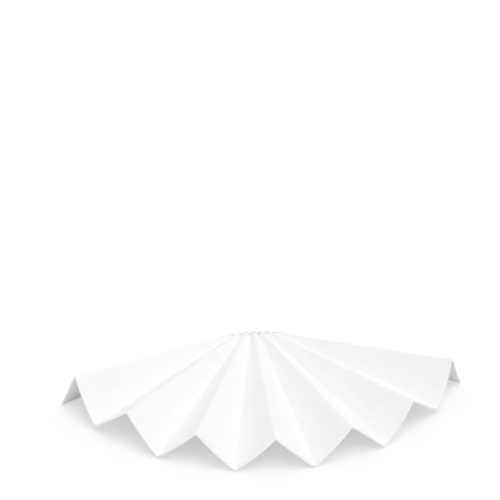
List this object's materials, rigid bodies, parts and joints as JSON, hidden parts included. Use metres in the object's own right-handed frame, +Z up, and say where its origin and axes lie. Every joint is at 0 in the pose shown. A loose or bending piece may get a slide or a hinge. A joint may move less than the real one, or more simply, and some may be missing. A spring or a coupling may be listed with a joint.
{
  "type": "folded filter paper",
  "caption": "Round filter paper folded in half, pleated into flutes and opened out as a fan that lies on its valley folds.",
  "frame": {"origin": "on the table under the centre of the fan's bounding box", "axes": "+X from the fan's left end to its right end, +Y from the round rim towards the gathered row at the apex, +Z up from the table that the valley folds lie on"},
  "size_m": [0.1098, 0.0614, 0.0126],
  "materials": {
    "filter_paper": "matte white uncoated cellulose filter paper with soft creases"
  },
  "bodies": {
    "root": {"filter_paper": "filter_paper"}
  },
  "joints": []
}
